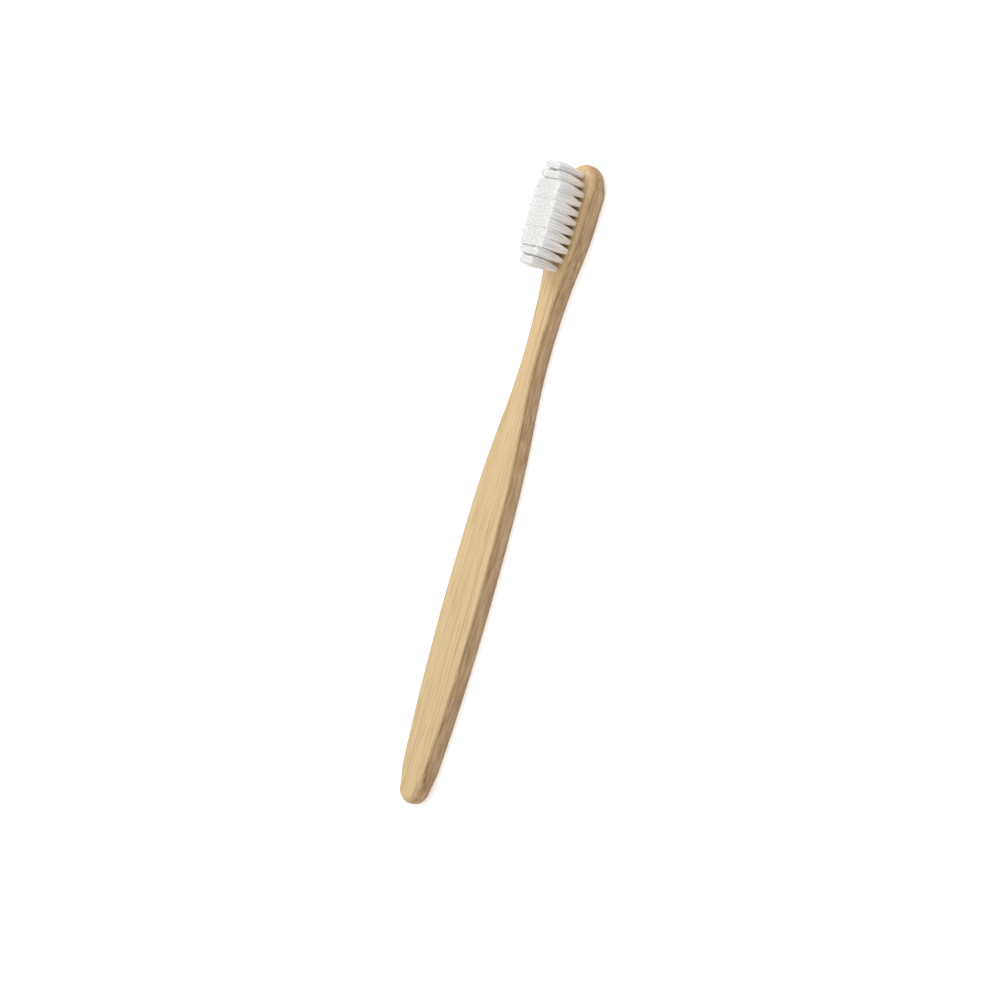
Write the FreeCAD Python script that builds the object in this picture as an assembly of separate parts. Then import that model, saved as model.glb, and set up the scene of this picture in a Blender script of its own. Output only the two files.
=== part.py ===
import FreeCAD, Part

import math
import os

# Manual toothbrush: a bamboo handle in one piece, and nylon tufts that flat metal anchors hold in its head.
# It lies on its flat back. +X runs from the butt to the head's tip, and the bristles point along +Z.
# The origin is on the surface that it lies on, under the middle of its length. Lengths are in millimetres.

# Handle: a flat bamboo strip, cut to a waisted outline
handle_length = 185.0
handle_thickness = 5.4
grip_width = 15.0
grip_from_butt = 58.5
neck_width = 6.3
neck_from_tip = 53.7
head_from_tip = 15.5
butt_radius = 4.8
tip_radius = 6.4
edge_round = 1.0
end_round = 2.3
end_round_runout = 6.0

# Flow of the outline between those places
butt_slope_share = 2.0
throat_along_share = 0.71
throat_width_share = 0.62
throat_slope_share = 2.4
shoulder_along_share = 0.64
shoulder_width_share = 0.58
shoulder_slope_share = 1.95
tip_side_angle = 31.0

# Tuft holes: flat-floored, in rows across the head that are counted from its tip
tufts_in_row = (2, 3, 4, 4, 4, 4, 4, 4, 4, 3, 2)
hole_diameter = 1.6
hole_sides = 16
hole_depth = 3.2
wood_between_rows = 1.12
wood_between_columns = 0.65
wood_beside_holes = 2.6
wood_at_tip = 2.85
hole_clearance = 0.04
cut_overrun = 1.0

# Tufts: bundles of filaments, folded round the anchors, that spread until they press each other flat
bristle_length = 10.8
meeting_height = 6.5
tuft_gap = 0.12
corner_share = 0.59

# Anchors: flat metal plates that bite into the walls of the holes
anchor_thickness = 0.25
anchor_height = 1.5
anchor_above_floor = 0.5
anchor_bite = 0.12
anchor_angle = 35.0

# Places and sizes that the pieces share
butt_x = -handle_length / 2
tip_x = handle_length / 2
hole_floor_z = handle_thickness - hole_depth
row_pitch = hole_diameter + wood_between_rows
column_pitch = hole_diameter + wood_between_columns
head_width = (max(tufts_in_row) - 1) * column_pitch + hole_diameter + 2 * wood_beside_holes
fill_diameter = hole_diameter - 2 * hole_clearance


def at(x, y, z=0):
    return FreeCAD.Vector(x, y, z)


up = at(0, 0, 1)


def heading(slope):
    """Unit direction along the outline where its width rises by slope."""
    return at(1, slope).normalize()


def arc_from(start, direction, end):
    """Edge of the circle that leaves start along direction and passes through end."""
    chord = end - start
    along = direction.dot(chord) / chord.Length
    bulge = direction - chord * (along / chord.Length)
    middle = (start + end) / 2 + bulge * (chord.Length / 2 / (1 + along))
    return Part.Arc(start, middle, end).toShape()


def biarc(start, start_direction, end, end_direction):
    """Two arcs, tangent to each other and to the directions at both ends."""
    span = end - start
    reach = span.dot(start_direction + end_direction)
    turn = 2 * (start_direction.dot(end_direction) - 1)
    tangent = span.dot(span) / (reach + math.sqrt(reach ** 2 - turn * span.dot(span)))
    joint = (start + start_direction * tangent + end - end_direction * tangent) / 2
    return [arc_from(start, start_direction, joint), arc_from(end, end_direction * -1, joint)]


def station_between(first, last, along_share, width_share, slope_share):
    """Point of the outline where its curve reverses, and its direction there from the mean slope."""
    run = last.x - first.x
    rise = last.y - first.y
    point = at(first.x + along_share * run, first.y + width_share * rise)
    return point, heading(slope_share * rise / run)


def outline_stations():
    """Points and directions of the handle's +Y side, from the end of the butt's arc to the tip's."""
    level = heading(0)
    grip = at(butt_x + grip_from_butt, grip_width / 2)
    neck = at(tip_x - neck_from_tip, neck_width / 2)
    head = at(tip_x - head_from_tip, head_width / 2)
    butt_slope = butt_slope_share * (grip.y - butt_radius) / (grip_from_butt - butt_radius)
    butt_angle = math.atan(butt_slope)
    butt_end_x = butt_x + butt_radius * (1 - math.sin(butt_angle))
    tip_angle = math.radians(tip_side_angle)
    tip_start_x = tip_x - tip_radius * (1 - math.sin(tip_angle))
    return [
        (at(butt_end_x, butt_radius * math.cos(butt_angle)), heading(butt_slope)),
        (grip, level),
        station_between(grip, neck, throat_along_share, throat_width_share, throat_slope_share),
        (neck, level),
        station_between(neck, head, shoulder_along_share, shoulder_width_share, shoulder_slope_share),
        (head, level),
        (at(tip_start_x, tip_radius * math.cos(tip_angle)), heading(-math.tan(tip_angle))),
    ]


def end_arc(side, end_x):
    """Arc across the butt or the tip, from one side of the outline to the other."""
    return Part.Arc(at(side.x, -side.y), at(end_x, 0), side).toShape()


def outline():
    """Closed outline of the handle, alike on both sides."""
    stations = outline_stations()
    side = []
    for (start, start_direction), (end, end_direction) in zip(stations, stations[1:]):
        side += biarc(start, start_direction, end, end_direction)
    beside_butt = side.pop(0)
    side += beside_butt.split(beside_butt.getParameterByLength(end_round_runout)).Edges
    other_side = [edge.mirror(at(0, 0), at(0, 1)) for edge in side]
    ends = [end_arc(stations[0][0], butt_x), end_arc(stations[-1][0], tip_x)]
    return Part.Wire(Part.__sortEdges__(side + other_side + ends))


def rim_round(point):
    """Rounding of the rims at a point of the outline: larger where it turns across the butt and the tip."""
    at_butt = point.x < butt_x + butt_radius
    at_tip = point.x > tip_x - tip_radius
    return end_round if at_butt or at_tip else edge_round


def handle_blank():
    """The strip cut to its outline, with the rims of both faces rounded over."""
    document = FreeCAD.newDocument()
    strip = document.addObject("Part::Feature")
    strip.Shape = Part.Face(outline()).extrude(up * handle_thickness)
    rounding = document.addObject("Part::Fillet")
    rounding.Base = strip
    rounding.Edges = [
        (number, *[rim_round(vertex.Point) for vertex in edge.Vertexes])
        for number, edge in enumerate(strip.Shape.Edges, 1)
        if round(edge.tangentAt(edge.FirstParameter).z) == 0
    ]
    document.recompute()
    return rounding.Shape


def tuft_places():
    """Place of each tuft by its name, row by row from the head's tip."""
    places = {}
    for row, count in enumerate(tufts_in_row):
        x = tip_x - wood_at_tip - hole_diameter / 2 - row * row_pitch
        for column in range(count):
            y = (column - (count - 1) / 2) * column_pitch
            places[f"tuft_row{row + 1:02d}_{column + 1}"] = at(x, y)
    return places


def flat_face(points):
    return Part.Face(Part.makePolygon(points + points[:1]))


def hole():
    """Hole from the front to its flat floor, with just enough sides to be round at its size."""
    radius = hole_diameter / 2
    turns = [2 * math.pi * side / hole_sides for side in range(hole_sides)]
    corners = [at(radius * math.cos(turn), radius * math.sin(turn), hole_floor_z) for turn in turns]
    return flat_face(corners).extrude(up * (hole_depth + cut_overrun))


def anchor():
    """Plate on edge across a hole, wider than the hole by a bite at each side."""
    width = hole_diameter + 2 * anchor_bite
    corner = at(-width / 2, -anchor_thickness / 2, hole_floor_z + anchor_above_floor)
    plate = Part.makeBox(width, anchor_thickness, anchor_height, corner)
    return plate.rotate(at(0, 0), up, anchor_angle)


def ring(z, half_length, half_width):
    """Points round a tuft: a rectangle with its corners taken off."""
    corner = corner_share * min(half_length, half_width)
    short_length = half_length - corner
    short_width = half_width - corner
    return [
        at(half_length, -short_width, z),
        at(half_length, short_width, z),
        at(short_length, half_width, z),
        at(-short_length, half_width, z),
        at(-half_length, short_width, z),
        at(-half_length, -short_width, z),
        at(-short_length, -half_width, z),
        at(short_length, -half_width, z),
    ]


def tuft():
    """Root in the hole, slotted for the anchor, and the bundle that spreads and then runs straight."""
    root_half = fill_diameter / 2 * math.cos(math.pi / 8)
    half_length = (row_pitch - tuft_gap) / 2
    half_width = (column_pitch - tuft_gap) / 2
    rings = [
        ring(hole_floor_z, root_half, root_half),
        ring(handle_thickness, root_half, root_half),
        ring(handle_thickness + meeting_height, half_length, half_width),
        ring(handle_thickness + bristle_length, half_length, half_width),
    ]
    faces = [flat_face(rings[0]), flat_face(rings[-1])]
    for lower, upper in zip(rings, rings[1:]):
        for side in range(len(lower)):
            faces.append(flat_face([lower[side - 1], lower[side], upper[side], upper[side - 1]]))
    return Part.makeSolid(Part.makeShell(faces)).cut(anchor())


def drilled_handle(places):
    """The blank with its tuft holes, and the nicks where the anchors bite."""
    cuts = [hole(), anchor()]
    return handle_blank().cut([cut.translated(place) for place in places for cut in cuts])


def write(name, shape):
    shape.exportStep(os.path.join("parts", name + ".step"))
    print(f"{name}: {len(shape.Solids)} solids, {shape.Volume:.2f} mm3, valid {shape.isValid()}")


os.makedirs("parts", exist_ok=True)
places = tuft_places()
write("handle", drilled_handle(places.values()))
write("staple_anchors", Part.makeCompound([anchor().translated(place) for place in places.values()]))
for name, place in places.items():
    write(name, tuft().translated(place))
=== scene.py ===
# %% [markdown]
# # A bamboo toothbrush, dressed for the camera
# The brush is a flat strip of bamboo with bundles of nylon filaments stapled into its head. Its solids
# come in as a fixed frame, in metres, lying on its back: +X runs to the head's tip and the bristles point
# along +Z. The strip has the right shape already, so it only gets a finish. The tufts are soft, so each
# plain solid is replaced by the filaments that a real tuft is made of.

# %% Load the frame
import math
import random
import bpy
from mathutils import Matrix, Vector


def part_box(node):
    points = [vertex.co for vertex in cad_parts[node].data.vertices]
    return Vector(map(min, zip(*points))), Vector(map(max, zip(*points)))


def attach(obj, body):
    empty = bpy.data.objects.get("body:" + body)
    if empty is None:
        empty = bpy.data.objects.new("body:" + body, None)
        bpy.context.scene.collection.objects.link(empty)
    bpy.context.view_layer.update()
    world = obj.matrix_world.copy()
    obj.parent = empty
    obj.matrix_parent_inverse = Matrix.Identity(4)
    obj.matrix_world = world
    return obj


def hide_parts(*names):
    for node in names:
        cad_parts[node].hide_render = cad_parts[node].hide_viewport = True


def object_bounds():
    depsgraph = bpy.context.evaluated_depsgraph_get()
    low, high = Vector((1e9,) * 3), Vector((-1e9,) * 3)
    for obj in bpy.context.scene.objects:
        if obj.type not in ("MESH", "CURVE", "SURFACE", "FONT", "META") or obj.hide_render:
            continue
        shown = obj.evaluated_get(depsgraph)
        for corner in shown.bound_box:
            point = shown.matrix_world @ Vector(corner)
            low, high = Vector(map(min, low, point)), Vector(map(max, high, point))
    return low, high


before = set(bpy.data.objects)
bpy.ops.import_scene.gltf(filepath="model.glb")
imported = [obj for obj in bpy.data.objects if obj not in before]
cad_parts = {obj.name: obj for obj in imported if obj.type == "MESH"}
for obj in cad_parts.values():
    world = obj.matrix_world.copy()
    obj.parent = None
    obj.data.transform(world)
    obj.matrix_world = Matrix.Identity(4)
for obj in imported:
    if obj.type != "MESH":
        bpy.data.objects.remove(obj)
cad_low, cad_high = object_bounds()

from types import SimpleNamespace

import bmesh
import bpy
from mathutils import Matrix, Vector

MM = 0.001
scene = bpy.context.scene
tuft_nodes = [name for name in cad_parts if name.startswith("tuft_")]
face_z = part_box("handle")[1].z
print("brush", [round(side / MM, 1) for side in cad_high - cad_low], "mm,", len(tuft_nodes), "tufts")

# %% [markdown]
# ## Camera
# The photograph is taken square to the handle, with a long lens, so hardly anything shrinks along the
# length. The front face is turned 49 degrees from the view, and the picture is rolled until the brush
# leans 16 degrees to the right of upright. A camera that isn't turned looks straight down. It is tipped
# up towards +Y first and rolled about its own axis last, which keeps the two angles apart and easy to
# compare with the picture. Blender takes the lens and the sensor in millimetres.

# %% Make the camera
VIEW_TILT = math.radians(49.16)
BRUSH_LEAN = math.radians(15.76)
PICTURE_WIDTH = 279 * MM
PICTURE_CENTRE = Vector((-4.2, -0.7, 1.9)) * MM
LENS_LENGTH = 135
SENSOR_WIDTH = 36

lens = bpy.data.cameras.new("camera")
lens.lens = LENS_LENGTH
lens.sensor_width = SENSOR_WIDTH
camera = bpy.data.objects.new("camera", lens)
turn = Matrix.Rotation(VIEW_TILT, 4, "X") @ Matrix.Rotation(BRUSH_LEAN - math.pi / 2, 4, "Z")
distance = PICTURE_WIDTH * LENS_LENGTH / SENSOR_WIDTH
camera.matrix_world = Matrix.Translation(PICTURE_CENTRE) @ turn @ Matrix.Translation((0, 0, distance))
scene.collection.objects.link(camera)
scene.camera = camera
scene.view_settings.view_transform = "Standard"
print("camera", round(distance, 3), "m from the brush")

# %% [markdown]
# ## Trees of nodes
# Every finish below is a small tree of nodes. Three helpers keep the trees readable: one feeds a socket
# with a value or with another node's output, one makes a node, and one makes a material with its shader
# in place.

# %% Helpers for node trees
def feed(tree, socket, value):
    if isinstance(value, bpy.types.NodeSocket):
        tree.links.new(value, socket)
    else:
        socket.default_value = value


def add_node(tree, kind, inputs=None, **choices):
    node = tree.nodes.new("ShaderNode" + kind)
    for name, choice in choices.items():
        setattr(node, name, choice)
    for name, value in (inputs or {}).items():
        feed(tree, node.inputs[name], value)
    return node


def new_finish(name):
    finish = bpy.data.materials.new(name)
    finish.use_nodes = True
    tree = finish.node_tree
    return finish, tree, tree.nodes["Principled BSDF"]


print("node helpers ready")

# %% [markdown]
# ## Patterns
# A pattern reads Object coordinates, so it is solid, like real timber: a streak on the face runs on round
# the rim and shows as a dot on the end grain. The Mapping node squeezes the pattern across the handle and
# leaves it long along X, which is what turns a cloud of noise into fibres. Scales count features per
# metre, along the handle and across it, and a range says which of the pattern's values are used.

# %% Helpers for patterns
SOFT_DETAIL = 2
FINE_DETAIL = 3
CLOUD_ROUGHNESS = 0.6


def grain_place(tree, scale):
    """Object coordinates, scaled by one number along the handle and by another across it."""
    along, across = scale
    place = add_node(tree, "TexCoord").outputs["Object"]
    inputs = {"Vector": place, "Scale": (along, across, across)}
    return add_node(tree, "Mapping", inputs).outputs["Vector"]


def clouds(tree, place, detail):
    inputs = {"Vector": place, "Scale": 1, "Detail": detail, "Roughness": CLOUD_ROUGHNESS}
    return add_node(tree, "TexNoise", inputs).outputs["Fac"]


def remap(tree, value, start, end, low=0.0, high=1.0):
    """Turns the values from start to end into values from low to high, and holds them there."""
    inputs = {"Value": value, "From Min": start, "From Max": end, "To Min": low, "To Max": high}
    return add_node(tree, "MapRange", inputs).outputs["Result"]


def calculate(tree, operation, first, second):
    return add_node(tree, "Math", {0: first, 1: second}, operation=operation).outputs[0]


def blend(tree, share, under, over, way="MIX"):
    """Lays one colour over another. The Mix node's inputs 0, 6 and 7 are its factor and its two colours."""
    inputs = {0: share, 6: under, 7: over}
    return add_node(tree, "Mix", inputs, data_type="RGBA", blend_type=way).outputs[2]


print("pattern helpers ready")

# %% [markdown]
# ## Bamboo grain
# Bamboo has no rings. Stiff brown fibre bundles run straight along the culm in a softer straw-coloured
# ground, and sanding cuts them into long fine streaks. Four solid patterns give this: broad bands of
# tone, streaks as wide as a pencil line, fine pale fibres, and the dark cores of the bundles, which are
# the middles of long thin Voronoi cells.

# %% Helper for the bamboo grain
STRAW = (0.71, 0.51, 0.26, 1)
HONEY = (0.695, 0.49, 0.243, 1)
STREAK_BROWN = (0.49, 0.30, 0.12, 1)
PALE_FIBRE = (0.83, 0.65, 0.395, 1)
BUNDLE_BROWN = (0.45, 0.27, 0.11, 1)
BAND_SCALE = (8, 200)
BAND_RANGE = (0.35, 0.65)
STREAK_SCALE = (12, 1250)
STREAK_RANGE = (0.50, 0.68)
STREAK_STRENGTH = 0.8
FIBRE_SCALE = (26, 2600)
FIBRE_RANGE = (0.30, 0.70)
PALE_RANGE = (0.35, 1.0)
PALE_STRENGTH = 0.8
CORE_SCALE = (75, 1250)
CORE_RANGE = (0.08, 0.30)
CORE_STRENGTH = 0.6


def bamboo_grain(tree):
    """Colour of the timber inside, and the height of its fibres."""
    bands = clouds(tree, grain_place(tree, BAND_SCALE), SOFT_DETAIL)
    streaks = clouds(tree, grain_place(tree, STREAK_SCALE), SOFT_DETAIL)
    fibres = remap(tree, clouds(tree, grain_place(tree, FIBRE_SCALE), FINE_DETAIL), *FIBRE_RANGE)
    cells = add_node(tree, "TexVoronoi", {"Vector": grain_place(tree, CORE_SCALE), "Scale": 1})
    cores = remap(tree, cells.outputs["Distance"], *CORE_RANGE, low=CORE_STRENGTH, high=0.0)
    colour = blend(tree, remap(tree, bands, *BAND_RANGE), STRAW, HONEY)
    colour = blend(tree, remap(tree, streaks, *STREAK_RANGE, high=STREAK_STRENGTH), colour, STREAK_BROWN)
    colour = blend(tree, remap(tree, fibres, *PALE_RANGE, high=PALE_STRENGTH), colour, PALE_FIBRE)
    return blend(tree, cores, colour, BUNDLE_BROWN), fibres


print("bamboo grain ready")

# %% [markdown]
# ## Bamboo, cut and sanded
# How the timber looks depends on how it was cut. The flat faces run along the fibres and come up pale and
# golden. The sides cut across the layers of bundles, so they are browner and mottled, and their tint is
# darker still as painted shade, which stands in for the shade on the sides. The rounded ends cut straight
# through the fibres, which drink more oil and turn orange. The rounded rims are tinted darker and more
# orange. The surface's own direction in Object coordinates tells the four apart, so the tints stay put from
# every side. Each turn says how far a surface must face that way for its tint to begin and to be full, and
# the third value of the rim is where it ends again.

# %% Make the bamboo finish
# The side tint is partly the browner tone of the sides and partly painted shade, darker than the timber is.
SIDE_TONE_AND_SHADE = (0.51, 0.415, 0.445, 1)
END_TINT = (0.80, 0.67, 0.53, 1)
# The rim tint makes the rounded rims darker and more orange.
RIM_TINT = (0.80, 0.70, 0.57, 1)
SIDE_TURN = (0.15, 0.95)
END_TURN = (0.40, 1.0)
RIM_TURN = (0.0, 0.25, 0.8)
MOTTLE_SCALE = (150, 1300)
MOTTLE_RANGE = (0.32, 0.68)
LEAST_MOTTLE = 0.45
GROUND_ROUGHNESS = 0.60
FIBRE_ROUGHNESS = 0.46
FIBRE_RELIEF = 0.05 * MM
RELIEF_STRENGTH = 0.3


def bamboo_finish():
    finish, tree, shader = new_finish("bamboo")
    colour, fibres = bamboo_grain(tree)
    facing = add_node(tree, "SeparateXYZ", {0: add_node(tree, "TexCoord").outputs["Normal"]})
    along, across, upward = [
        add_node(tree, "Math", {0: facing.outputs[axis]}, operation="ABSOLUTE").outputs[0] for axis in "XYZ"
    ]
    spots = clouds(tree, grain_place(tree, MOTTLE_SCALE), FINE_DETAIL)
    mottle = remap(tree, spots, *MOTTLE_RANGE, low=LEAST_MOTTLE)
    # Painted shade: the side faces are darkened beyond their own browner tone.
    side = calculate(tree, "MULTIPLY", remap(tree, across, *SIDE_TURN), mottle)
    end = calculate(tree, "MULTIPLY", remap(tree, along, *END_TURN), mottle)
    rim_start, rim_middle, rim_end = RIM_TURN
    growing = remap(tree, upward, rim_start, rim_middle)
    fading = remap(tree, upward, rim_middle, rim_end, low=1.0, high=0.0)
    rim = calculate(tree, "MINIMUM", growing, fading)
    colour = blend(tree, side, colour, SIDE_TONE_AND_SHADE, "MULTIPLY")
    colour = blend(tree, end, colour, END_TINT, "MULTIPLY")
    colour = blend(tree, rim, colour, RIM_TINT, "MULTIPLY")
    feed(tree, shader.inputs["Base Color"], colour)
    roughness = remap(tree, fibres, 0, 1, GROUND_ROUGHNESS, FIBRE_ROUGHNESS)
    feed(tree, shader.inputs["Roughness"], roughness)
    bump = {"Strength": RELIEF_STRENGTH, "Distance": FIBRE_RELIEF, "Height": fibres}
    relief = add_node(tree, "Bump", bump)
    feed(tree, shader.inputs["Normal"], relief.outputs["Normal"])
    return finish


def dress(node_name, finish):
    """Puts a finish on a solid of the frame in place of its plain one."""
    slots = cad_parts[node_name].data.materials
    slots.clear()
    slots.append(finish)


dress("handle", bamboo_finish())
print("handle dressed in bamboo")

# %% [markdown]
# ## Floor
# The brush lies on a white studio sheet. White paper in full light would still come out a little grey, so
# the sheet adds some light of its own, but only to rays that come straight from the camera or off a shiny
# surface. It lights nothing that way, and the soft shadow of the brush stays.

# %% Make the floor
SHEET_HALF_WIDTH = 3.0
SHEET_DROP = 0.02 * MM
SHEET_GLOW = 0.42
SHEET_SCALE = (900, 900)
SHEET_RANGE = (0.2, 0.8)
SHEET_GREYS = (0.87, 0.89)
SHEET_ROUGHNESS = 0.9


def seen_directly(tree):
    """1 for rays from the camera or by way of a shiny surface, and 0 for the light that falls on things."""
    path = add_node(tree, "LightPath").outputs
    shiny = calculate(tree, "MAXIMUM", path["Is Glossy Ray"], path["Is Transmission Ray"])
    return calculate(tree, "MAXIMUM", path["Is Camera Ray"], shiny)


def sheet_finish():
    finish, tree, shader = new_finish("studio_sheet")
    paper = clouds(tree, grain_place(tree, SHEET_SCALE), SOFT_DETAIL)
    feed(tree, shader.inputs["Base Color"], remap(tree, paper, *SHEET_RANGE, *SHEET_GREYS))
    shader.inputs["Roughness"].default_value = SHEET_ROUGHNESS
    strength = remap(tree, seen_directly(tree), 0, 1, 0, SHEET_GLOW)
    glow = add_node(tree, "Emission", {"Strength": strength})
    both = add_node(tree, "AddShader", {0: shader.outputs[0], 1: glow.outputs[0]})
    feed(tree, tree.nodes["Material Output"].inputs["Surface"], both.outputs[0])
    return finish


sheet = bmesh.new()
bmesh.ops.create_grid(sheet, x_segments=1, y_segments=1, size=SHEET_HALF_WIDTH)
bmesh.ops.translate(sheet, verts=sheet.verts, vec=(0, 0, -SHEET_DROP))
floor = bpy.data.objects.new("floor", bpy.data.meshes.new("floor"))
sheet.to_mesh(floor.data)
sheet.free()
floor.data.materials.append(sheet_finish())
scene.collection.objects.link(floor)
print("floor", 2 * SHEET_HALF_WIDTH, "m wide")

# %% [markdown]
# ## Light
# The brush is in a white tent, which lights it from all sides, and one soft lamp hangs behind it and
# towards the head. The front face is the brightest then, brighter at the neck than at the butt, and the
# near side is shaded. The tent is the world: it is plain white to the camera, and dimmer as a light, so
# that colours come out about as they are written.

# %% Make the lamp and the tent
LAMP_PLACE = Vector((0.28, 0.13, 0.42))
LAMP_SIZE = 0.25
LAMP_POWER = 0.68
TENT_LIGHT = 0.83

lamp = bpy.data.lights.new("soft_lamp", "AREA")
lamp.size = LAMP_SIZE
lamp.energy = LAMP_POWER
lamp_holder = bpy.data.objects.new("soft_lamp", lamp)
lamp_holder.location = LAMP_PLACE
lamp_holder.rotation_euler = (-LAMP_PLACE).to_track_quat("-Z", "Y").to_euler()
scene.collection.objects.link(lamp_holder)

scene.world = bpy.data.worlds.new("tent")
scene.world.use_nodes = True
tent = scene.world.node_tree
backdrop = tent.nodes["Background"].inputs
backdrop["Color"].default_value = (1, 1, 1, 1)
feed(tent, backdrop["Strength"], remap(tent, seen_directly(tent), 0, 1, TENT_LIGHT, 1))
print("lamp of", LAMP_POWER, "W in a tent of", TENT_LIGHT)

# %% [markdown]
# ## Nylon
# The filaments are milky white nylon, as thin as fishing line, and each one is a little different in
# tone. A pattern stretched along Z gives that change from filament to filament. Nylon lets some light
# through, so near the bamboo it looks warm: a tint that fades with height stands for this.

# %% Make the nylon finish
NYLON_SHADE = (0.90, 0.89, 0.87, 1)
NYLON_LIGHT = (0.955, 0.951, 0.943, 1)
WARM_FOOT = (0.99, 0.90, 0.82, 1)
WARM_HEIGHT = 9 * MM
STRAND_SCALE = (1900, 1900, 55)
STRAND_RANGE = (0.28, 0.55)
NYLON_ROUGHNESS = (0.42, 0.32)


def nylon_finish():
    finish, tree, shader = new_finish("nylon_bristles")
    place = add_node(tree, "TexCoord").outputs["Object"]
    strands = add_node(tree, "Mapping", {"Vector": place, "Scale": STRAND_SCALE}).outputs["Vector"]
    tone = remap(tree, clouds(tree, strands, SOFT_DETAIL), *STRAND_RANGE)
    colour = blend(tree, tone, NYLON_SHADE, NYLON_LIGHT)
    height = add_node(tree, "SeparateXYZ", {0: place}).outputs["Z"]
    near_wood = remap(tree, height, face_z, face_z + WARM_HEIGHT, low=1.0, high=0.0)
    feed(tree, shader.inputs["Base Color"], blend(tree, near_wood, colour, WARM_FOOT, "MULTIPLY"))
    feed(tree, shader.inputs["Roughness"], remap(tree, tone, 0, 1, *NYLON_ROUGHNESS))
    return finish


nylon = nylon_finish()
print("nylon ready")

# %% [markdown]
# ## One filament and one heart
# A filament is a thin round rod with its cut end ground to a dome, so that it doesn't scratch. It starts
# as a six-sided circle at the foot. Its rim is extruded upwards a step at a time, and the last two steps
# draw in to make the dome. There are nearly four thousand of them, so one filament has only a few dozen
# faces. A real bundle has more filaments than it pays to model: the ones inside are stood for by a plain
# heart, a wide rod made the same way, which ends just below the tips.

# %% Model the filament and the heart
FOOT_DEPTH = 1.0 * MM
FILAMENT_RADIUS = 0.10 * MM
FILAMENT_SIDES = 6
HEART_SIDES = 16
HEART_BELOW_TIPS = 0.28 * MM
STEM_STEPS = 6
DOME_RISES = (0.55, 0.35)
DOME_WIDTHS = (0.9, 0.55)


def extrude_rim(shape, rim, rise, scale=1):
    """Pulls a rim of edges up by one step, and returns the new rim."""
    grown = bmesh.ops.extrude_edge_only(shape, edges=rim)["geom"]
    verts = [item for item in grown if isinstance(item, bmesh.types.BMVert)]
    bmesh.ops.translate(shape, verts=verts, vec=(0, 0, rise))
    bmesh.ops.scale(shape, verts=verts, vec=(scale, scale, 1))
    return [item for item in grown if isinstance(item, bmesh.types.BMEdge)]


def model_rod(name, sides, radius, length, dome_radius):
    """Straight rod from z = 0 to its length with a domed end, as a mesh to copy."""
    shape = bmesh.new()
    bmesh.ops.create_circle(shape, cap_ends=True, segments=sides, radius=radius)
    rim = list(shape.edges)
    stem = length - dome_radius * sum(DOME_RISES)
    for _ in range(STEM_STEPS):
        rim = extrude_rim(shape, rim, stem / STEM_STEPS)
    width = 1
    for rise, next_width in zip(DOME_RISES, DOME_WIDTHS):
        rim = extrude_rim(shape, rim, dome_radius * rise, next_width / width)
        width = next_width
    bmesh.ops.contextual_create(shape, geom=rim)
    bmesh.ops.recalc_face_normals(shape, faces=shape.faces)
    mesh = bpy.data.meshes.new(name)
    shape.to_mesh(mesh)
    shape.free()
    return mesh


bristle_length = cad_high.z - face_z
rod_length = bristle_length + FOOT_DEPTH
filament = model_rod("filament", FILAMENT_SIDES, FILAMENT_RADIUS, rod_length, FILAMENT_RADIUS)
heart = model_rod("heart", HEART_SIDES, 1, rod_length - HEART_BELOW_TIPS, FILAMENT_RADIUS)
print("a filament has", len(filament.polygons), "faces and a heart", len(heart.polygons))

# %% [markdown]
# ## From the hole to the tips
# A tuft is one bundle, folded in two and stapled into its hole, so all its filaments leave the same small
# circle. Above the face they lean apart until they meet the next tuft, most of the way up, and then stand
# straight. The seeds of a sunflower fill a disc evenly by turning through one fixed angle each time, and
# the same rule places the filaments. At the trimmed end the neighbours have pressed the round bundle
# towards a square.

# %% Helpers to spread a tuft
FILAMENTS_PER_TUFT = 100
LEAN_EASE = 1.35
LEAN_HEIGHT_SHARE = 0.78
GOLDEN_ANGLE = math.pi * (3 - math.sqrt(5))


def seat_in_tuft(number):
    """Place of a filament in a round tuft of radius 1. The half keeps the first one off the middle."""
    turn = number * GOLDEN_ANGLE
    return Vector((math.cos(turn), math.sin(turn), 0)) * math.sqrt((number + 0.5) / FILAMENTS_PER_TUFT)


def pressed(seat, reach, squareness):
    """Where a seat ends up at the trimmed end: squareness 0 keeps the tuft round, and 1 makes it square."""
    press = (seat.length / max(abs(seat.x), abs(seat.y))) ** squareness
    return Vector((seat.x * reach.x, seat.y * reach.y, 0)) * press


def spread(height):
    """How far a filament has gone, from 0 in the hole to 1 at the end, at a height above the face."""
    height_share = min(max(height / bristle_length / LEAN_HEIGHT_SHARE, 0), 1)
    return 1 - (1 - height_share) ** LEAN_EASE


print("tufts spread up to", round(LEAN_HEIGHT_SHARE * bristle_length / MM, 1), "mm above the face")

# %% [markdown]
# ## How each tuft stands
# The tufts in the full rows press each other nearly square. The short rows at both ends have room, so
# their tufts stay slim and round, and their filaments splay along X too. A tuft at the end of a row has a
# free side, and it spreads further that way: its middle moves out by half of the outward amount, and its
# reach grows by the other half. The whole block leans a little towards the tip, and no two rows are
# trimmed to quite the same height.

# %% Find the stance of the tufts
FULL_ROW = SimpleNamespace(
    reach=Vector((1.05, 1.10, 0)),
    squareness=0.85,
    outward=0.45 * MM,
    free_ends=0,
)
SHORT_ROW = SimpleNamespace(
    reach=Vector((0.78, 1.06, 0)),
    squareness=0.35,
    outward=0.75 * MM,
    free_ends=1,
)
TIP_LEAN = Vector((0.4, 0, 0)) * MM
UNEVEN_ROWS = 0.3 * MM
SEED = 7

chance = random.Random(SEED)
rows = {}
for name in tuft_nodes:
    rows.setdefault(name.split("_")[1], []).append(name)
full_count = max(len(row) for row in rows.values())
row_drops = {row_name: chance.uniform(0, UNEVEN_ROWS) for row_name in rows}


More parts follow.
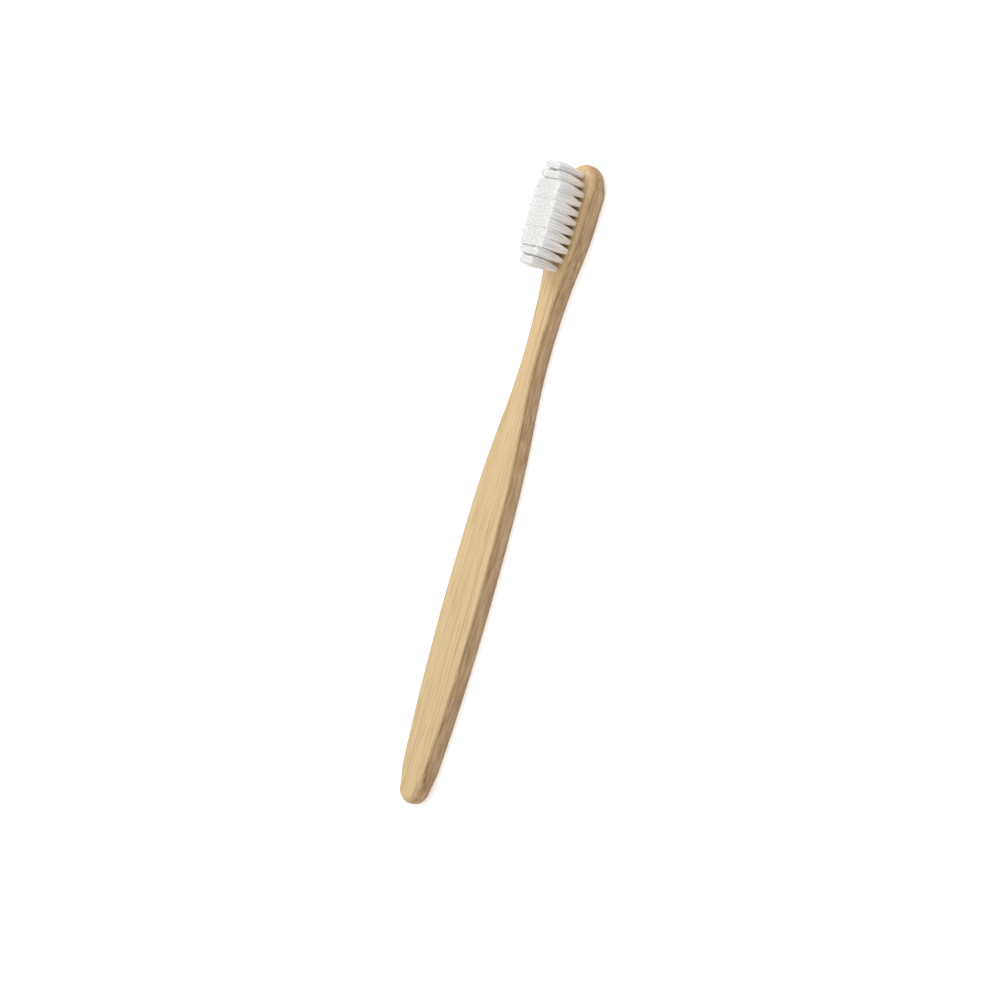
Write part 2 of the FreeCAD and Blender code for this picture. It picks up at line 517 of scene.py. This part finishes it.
def stance(node_name):
    """Middle of a tuft, its kind of row and free side (-1, 0 or 1 along Y), and how its end stands."""
    low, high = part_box(node_name)
    middle = (low + high) / 2
    row_name = node_name.split("_")[1]
    row = rows[row_name]
    kind = FULL_ROW if len(row) == full_count else SHORT_ROW
    free_side = math.copysign(1, middle.y) if node_name in (row[0], row[-1]) else 0
    outward = Vector((0, kind.outward * free_side / 2, 0))
    reach = (high - low) / 2 * kind.reach
    reach.y += outward.length
    return SimpleNamespace(
        middle=middle,
        kind=kind,
        free_side=free_side,
        reach=reach,
        outward=outward,
        drop=row_drops[row_name],
    )


print(len(rows), "rows, of", full_count, "tufts where they are full")

# %% [markdown]
# ## Planting
# Every rod is copied with its foot below the face, and each of its points is moved by its share of the
# way from the hole to the tips. A filament also strays a little at random and is cut a little short. On a
# free side it splays out, which is what makes the edge of the block look soft. The heart stays inside,
# away from the free side.

# %% Helpers to plant rods
HOLE_RADIUS = 0.80 * MM
HEART_SHARE = 0.8
HEART_END_SHARE = 1.01
STRAY = 0.14 * MM
SPLAY = 0.3 * MM
UNEVEN_TRIM = 0.11 * MM


def plant_rod(bundle, rod):
    """Adds a copy of a rod to a tuft with its foot below the face, and returns the new points."""
    first = len(bundle.verts)
    bundle.from_mesh(rod)
    bundle.verts.ensure_lookup_table()
    points = bundle.verts[first:]
    bmesh.ops.translate(bundle, verts=points, vec=(0, 0, -FOOT_DEPTH))
    return points


def plant_heart(bundle, tuft):
    for point in plant_rod(bundle, heart):
        seat = Vector((point.co.x, point.co.y, 0))
        foot = seat * HOLE_RADIUS * HEART_SHARE
        end = pressed(seat, tuft.reach, tuft.kind.squareness) * HEART_END_SHARE + TIP_LEAN
        share = spread(point.co.z)
        point.co.xy = foot.lerp(end, share).xy
        point.co.z -= tuft.drop * share


def plant_filament(bundle, tuft, number):
    seat = seat_in_tuft(number)
    freedom = max(seat.y * tuft.free_side, abs(seat.x) * tuft.kind.free_ends, 0)
    splay = abs(chance.gauss(0, SPLAY)) * freedom
    stray = Vector((chance.gauss(0, STRAY), chance.gauss(0, STRAY), 0))
    foot = seat * (HOLE_RADIUS - FILAMENT_RADIUS)
    end = pressed(seat, tuft.reach, tuft.kind.squareness) + TIP_LEAN + tuft.outward + stray + seat * splay
    drop = tuft.drop + abs(chance.gauss(0, UNEVEN_TRIM)) + splay / 2
    for point in plant_rod(bundle, filament):
        share = spread(point.co.z)
        point.co += foot.lerp(end, share)
        point.co.z -= drop * share


print("filaments splay by about", round(SPLAY / MM, 1), "mm on a free side")

# %% [markdown]
# ## One piece for each tuft
# A tuft is planted round the origin, heart first, and its points are then moved to the middle of its
# hole. The piece takes the place of the tuft's plain solid, and it stays at the origin itself.

# %% Plant the tufts
def plant_tuft(node_name):
    tuft = stance(node_name)
    bundle = bmesh.new()
    plant_heart(bundle, tuft)
    for number in range(FILAMENTS_PER_TUFT):
        plant_filament(bundle, tuft, number)
    bmesh.ops.translate(bundle, verts=bundle.verts, vec=(tuft.middle.x, tuft.middle.y, face_z))
    piece = bpy.data.objects.new(node_name.replace("tuft", "bristles"), bpy.data.meshes.new(node_name))
    bundle.to_mesh(piece.data)
    bundle.free()
    piece.data.shade_smooth()
    piece.data.materials.append(nylon)
    scene.collection.objects.link(piece)
    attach(piece, "root")
    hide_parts(node_name)
    return piece


bristles = [plant_tuft(name) for name in tuft_nodes]
print(len(bristles), "tufts of", FILAMENTS_PER_TUFT, "filaments")

# %% [markdown]
# ## Anchors
# The anchors are snips of flat brass wire, deep in the holes under the filaments. Nothing shows of them
# on a whole brush, but they are part of it, so they get the finish of drawn wire: warm metal with fine
# scratches.

# %% Make the anchor finish
BRASS_SHADE = (0.66, 0.55, 0.34, 1)
BRASS_LIGHT = (0.78, 0.69, 0.49, 1)
SCRATCH_SCALE = (500, 12000)
SCRATCH_RANGE = (0.2, 0.8)
BRASS_ROUGHNESS = (0.28, 0.45)


def anchor_finish():
    finish, tree, shader = new_finish("anchor_metal")
    scratches = clouds(tree, grain_place(tree, SCRATCH_SCALE), FINE_DETAIL)
    feed(tree, shader.inputs["Base Color"], blend(tree, scratches, BRASS_SHADE, BRASS_LIGHT))
    roughness = remap(tree, scratches, *SCRATCH_RANGE, *BRASS_ROUGHNESS)
    feed(tree, shader.inputs["Roughness"], roughness)
    shader.inputs["Metallic"].default_value = 1.0
    return finish


dress("staple_anchors", anchor_finish())
print("anchors dressed in brass")
